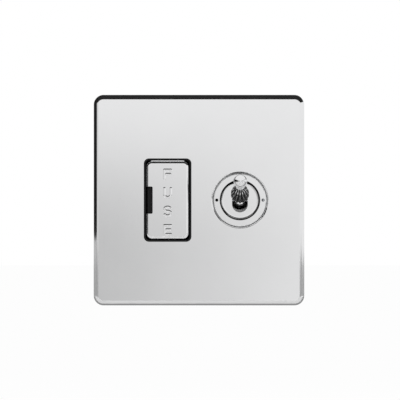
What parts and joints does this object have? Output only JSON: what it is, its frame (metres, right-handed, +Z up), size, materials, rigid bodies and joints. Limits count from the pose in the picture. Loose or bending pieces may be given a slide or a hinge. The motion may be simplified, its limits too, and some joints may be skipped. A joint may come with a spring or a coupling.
{
  "type": "fused spur unit",
  "caption": "Square flush wall plate with a swing-out fuse carrier on the left, a toggle lever in a round ring on the right, and wiring terminals behind.",
  "frame": {"origin": "on the wall plane, midway between the two fixing holes", "axes": "+X to the right seen from the front, +Y into the wall, +Z up"},
  "size_m": [0.086, 0.0441, 0.086],
  "materials": {
    "polished_plate": "mirror polished",
    "polished_lever": "mirror polished",
    "black_moulding": "fine satin",
    "grey_moulding": "matt thermoset",
    "zinc_steel": "bright zinc plate",
    "brass": "drawn, slightly dull",
    "ceramic": "glazed"
  },
  "bodies": {
    "unit": {"front_plate": "polished_plate", "ring_nut": "polished_plate", "toggle_bush": "polished_plate", "mounting_frame": "zinc_steel", "housing_screws": "zinc_steel", "frame_screws": "zinc_steel", "terminal_screws": "zinc_steel", "dolly_pin": "zinc_steel", "rocker_pin": "zinc_steel", "strap_rivet": "zinc_steel", "insert_moulding": "black_moulding", "switch_housing": "grey_moulding", "terminal_block": "grey_moulding", "fuse_contact_upper": "brass", "fuse_contact_lower": "brass", "fixed_contact_line": "brass", "fixed_contact_neutral": "brass", "pole_strap_line": "brass", "pole_strap_neutral": "brass", "earth_strap": "brass", "terminal_supply_line": "brass", "terminal_supply_neutral": "brass", "terminal_load_line": "brass", "terminal_load_neutral": "brass", "terminal_earth_upper": "brass", "terminal_earth_lower": "brass"},
    "fuse_tray": {"fuse_carrier": "black_moulding", "fuse_cap": "polished_plate", "fuse_body": "ceramic", "fuse_end_caps": "zinc_steel"},
    "toggle": {"dolly": "polished_lever", "plunger": "grey_moulding", "plunger_spring": "zinc_steel"},
    "rocker_set": {"rocker": "grey_moulding", "moving_contact_line": "brass", "moving_contact_neutral": "brass"}
  },
  "joints": [
    {"name": "fuse_tray_swing", "type": "hinge", "parent": "unit", "child": "fuse_tray", "pos_m": [-0.0071, -0.0033, 0], "axis": [0, 0, 1], "range_deg": [0, 65]},
    {"name": "dolly_tip", "type": "hinge", "parent": "unit", "child": "toggle", "pos_m": [0.0167, -0.0022, 0], "axis": [1, 0, 0], "range_deg": [0, 50]},
    {"name": "rocker_tip", "type": "hinge", "parent": "unit", "child": "rocker_set", "pos_m": [0.0167, 0.0082, 0], "axis": [1, 0, 0], "range_deg": [-20, 0]}
  ],
  "couplings": [
    {"joint": "rocker_tip", "follows": "dolly_tip", "ratio": -0.4}
  ]
}
